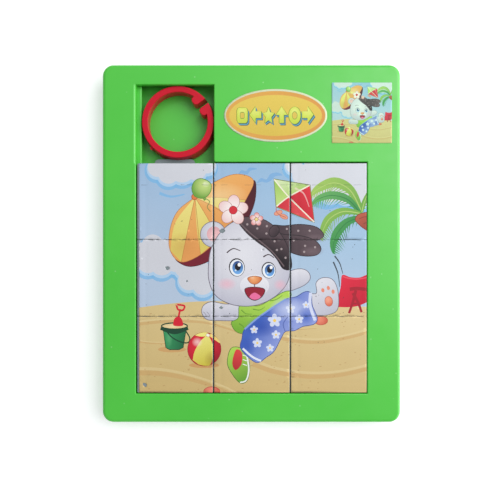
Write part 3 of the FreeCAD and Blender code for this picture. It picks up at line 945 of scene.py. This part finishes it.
def film_grid(corners):
    """The columns and rows of the films' grid, with closer ones along the sink marks."""
    grid_u, grid_v = [], []
    for (row, column), (low, high) in zip(TILES, corners):
        if row == 1:
            grid_u.extend(np.arange(low[0] + 0.5, high[0] - 0.8, GRID_STEP))
            grid_u.append(high[0] - 0.5)
            grid_u.extend(low[0] + SINK_LEFT / MM * UNITS_PER_MM[0] * share for share in (0.7, 1.0, 1.3))
        if column == 1:
            grid_v.extend(np.arange(low[1] + 0.9, high[1] - 0.3, GRID_STEP))
            grid_v.extend(low[1] + SINK_LOW / MM * UNITS_PER_MM[1] * share for share in (0.8, 1.0, 1.2))
    return sorted(grid_u), sorted(grid_v)


def film_drop(low, high):
    """How far a film's face lies below its box: at the sink marks, and at its rolled-off rim."""

    def drop(at):
        left, bottom = (at - low[:2]).T
        left_mark = np.exp(-((left - SINK_LEFT) / SINK_LEFT_WIDTH) ** 2)
        low_mark = 0.8 * np.exp(-((bottom - SINK_LOW) / SINK_LOW_WIDTH) ** 2)
        rim = np.minimum(at - low[:2], high[:2] - at).min(axis=1)
        return SINK_DEPTH * (left_mark + low_mark) + RIM_DROP * np.clip(1 - rim / RIM_WIDTH, 0, 1)

    return drop


def make_films():
    """Cuts one drawing into the nine tiles' films."""
    boxes = np.array([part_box(f"picture_r{row}c{column}") for row, column in TILES])
    sheet_low, sheet_high = boxes[:, 0, :2].min(axis=0), boxes[:, 1, :2].max(axis=0)
    size = (sheet_high - sheet_low) / 100
    corners = (boxes[:, :, :2] - sheet_low) / size
    dice = random.Random(EDGE_SEED)
    outlines = [ragged_outline(*corner, row, dice) for corner, (row, _) in zip(corners, TILES)]
    chips = chip_outlines(random.Random(CHIP_SEED))
    art = beach_drawing(worn=True)
    spots, faces = triangulate(art, outlines + chips, *film_grid(corners))
    colours = paint_triangles(art, spots, faces)
    middles = spots[faces].mean(axis=1)
    kept = ~np.any([inside(chip, middles) for chip in chips], axis=0)
    places = sheet_low + spots * size
    material = printed_film("printed_film", grain=0.025, roughness=0.42,
                            fade_to=linear(206, 208, 212), faded=0.02)
    for (row, column), (low, high), outline in zip(TILES, boxes, outlines):
        chosen = kept & inside(outline, middles)
        film = film_mesh(f"film_r{row}c{column}", places, faces[chosen], colours[chosen], high[2], low[2],
                         film_drop(low, high))
        film.data.materials.append(material)
        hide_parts(f"picture_r{row}c{column}")
        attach(film, f"tile_r{row}c{column}")


def rounded_square(low, high, radius):
    """A square with rounded corners, from one coordinate to another on both axes."""
    left, right = low + radius, high - radius
    out = []
    for turn, (u, v) in enumerate(((right, right), (left, right), (left, left), (right, left))):
        for step in range(5):
            angle = (turn + step / 4) * math.pi / 2
            out.append((u + radius * math.cos(angle), v + radius * math.sin(angle)))
    return np.array(out)


def make_label_piece(name, node_name, art, outline, grid, material, tint=(1, 1, 1)):
    """A sticker on the top panel, cut to an outline in its own 0 to 100 units."""
    low, high = np.array(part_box(node_name))
    spots, faces = triangulate(art, [outline], grid, grid)
    colours = paint_triangles(art, spots, faces) * np.array(tint)
    chosen = inside(outline, spots[faces].mean(axis=1))
    places = low[:2] + spots * ((high - low)[:2] / 100)
    piece = film_mesh(name, places, faces[chosen], colours[chosen], high[2], low[2],
                      lambda at: np.zeros(len(at)))
    piece.data.materials.append(material)
    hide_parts(node_name)
    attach(piece, "tray")


def make_reference_picture():
    material = printed_film("reference_print", grain=0.03, roughness=0.45,
                            fade_to=linear(180, 224, 210), faded=0.05)
    make_label_piece("small_picture", "reference_picture", beach_drawing(worn=False),
                     rounded_square(0, 100, 1.2), np.arange(1.5, 99.5, 3.0), material,
                     tint=(0.92, 1.16, 0.92))


SIGN_SIZE = np.array([11.6, 33.0])     # in the label's own 0 to 100 units, across and up
SIGN_STEP = 12.7
SIGN_SHADOW = np.array([1.5, -4.4])


def icon_outlines():
    """Six plain signs and the shape of each one's hole, in their own 0 to 10 units."""
    tile = rounded_square(0.6, 9.4, 2.0)
    down = np.array([(5, 0.2), (9.8, 5.2), (6.9, 5.2), (6.9, 9.8), (3.1, 9.8), (3.1, 5.2), (0.2, 5.2)])
    up = down * (1, -1) + (0, 10)
    left = down[:, ::-1]
    right = left * (-1, 1) + (10, 0)
    star = []
    for point in range(10):
        reach = 5.2 if point % 2 == 0 else 2.5
        angle = math.radians(90 + point * 36)
        star.append((5 + reach * math.cos(angle), 4.8 + reach * math.sin(angle)))
    ring = disc(5, 5, 4.9, 30)
    square_hole = rounded_square(3.4, 6.6, 0.7)
    round_hole = disc(5, 5, 2.0, 20)
    return [(tile, square_hole), (left, None), (np.array(star), None), (up, None), (ring, round_hole),
            (right, None)]


def label_drawing():
    """The oval label: a cream rim, an orange band, a yellow middle and six raised-looking signs."""
    art = []
    add(art, disc(50, 50, 50, 96), (214, 224, 190))
    add(art, ellipse(50, 50, 48.2, 46.3, 0, 90), fade((226, 168, 82), (218, 152, 76), (20, 60), (90, 40)))
    add(art, ellipse(50, 50, 45.0, 38.8, 0, 84), fade((230, 202, 92), (220, 190, 80), (40, 90), (60, 10)))
    scale = SIGN_SIZE / 10
    for number, (outline, hole) in enumerate(icon_outlines()):
        place = np.array([11.9 + number * SIGN_STEP, 33.6 + (1.5 if number % 2 else 0)])
        solid = place + outline * scale
        for share, colour in ((1.0, (44, 74, 104)), (0.7, (96, 170, 196)), (0.32, (58, 96, 110))):
            add(art, grown(solid, 0.35) + SIGN_SHADOW * share, colour)
        add(art, grown(solid, 0.5), (98, 140, 52))
        add(art, solid, fade((222, 232, 104), (196, 216, 70), place + (2, 28), place + (6, 0)))
        lit = place + (outline - 5) * 0.62 * scale + np.array([5, 5.7]) * scale
        add(art, lit, fade((236, 240, 140), (204, 222, 84), place + (2, 28), place + (6, 6)), 0.6)
        if hole is not None:
            add(art, place + grown(hole, 0.3) * scale, (98, 140, 52))
            add(art, place + hole * scale, (222, 194, 88))
    return art


def make_oval_label():
    material = printed_film("label_print", grain=0.03, roughness=0.4,
                            fade_to=linear(226, 206, 120), faded=0.04)
    make_label_piece("oval_sticker", "oval_label", label_drawing(),
                     disc(50, 50, 50, 96), np.arange(2, 99, 4.0), material)


make_camera()
make_light()
make_floor()
dress_cad()
make_films()
make_reference_picture()
make_oval_label()
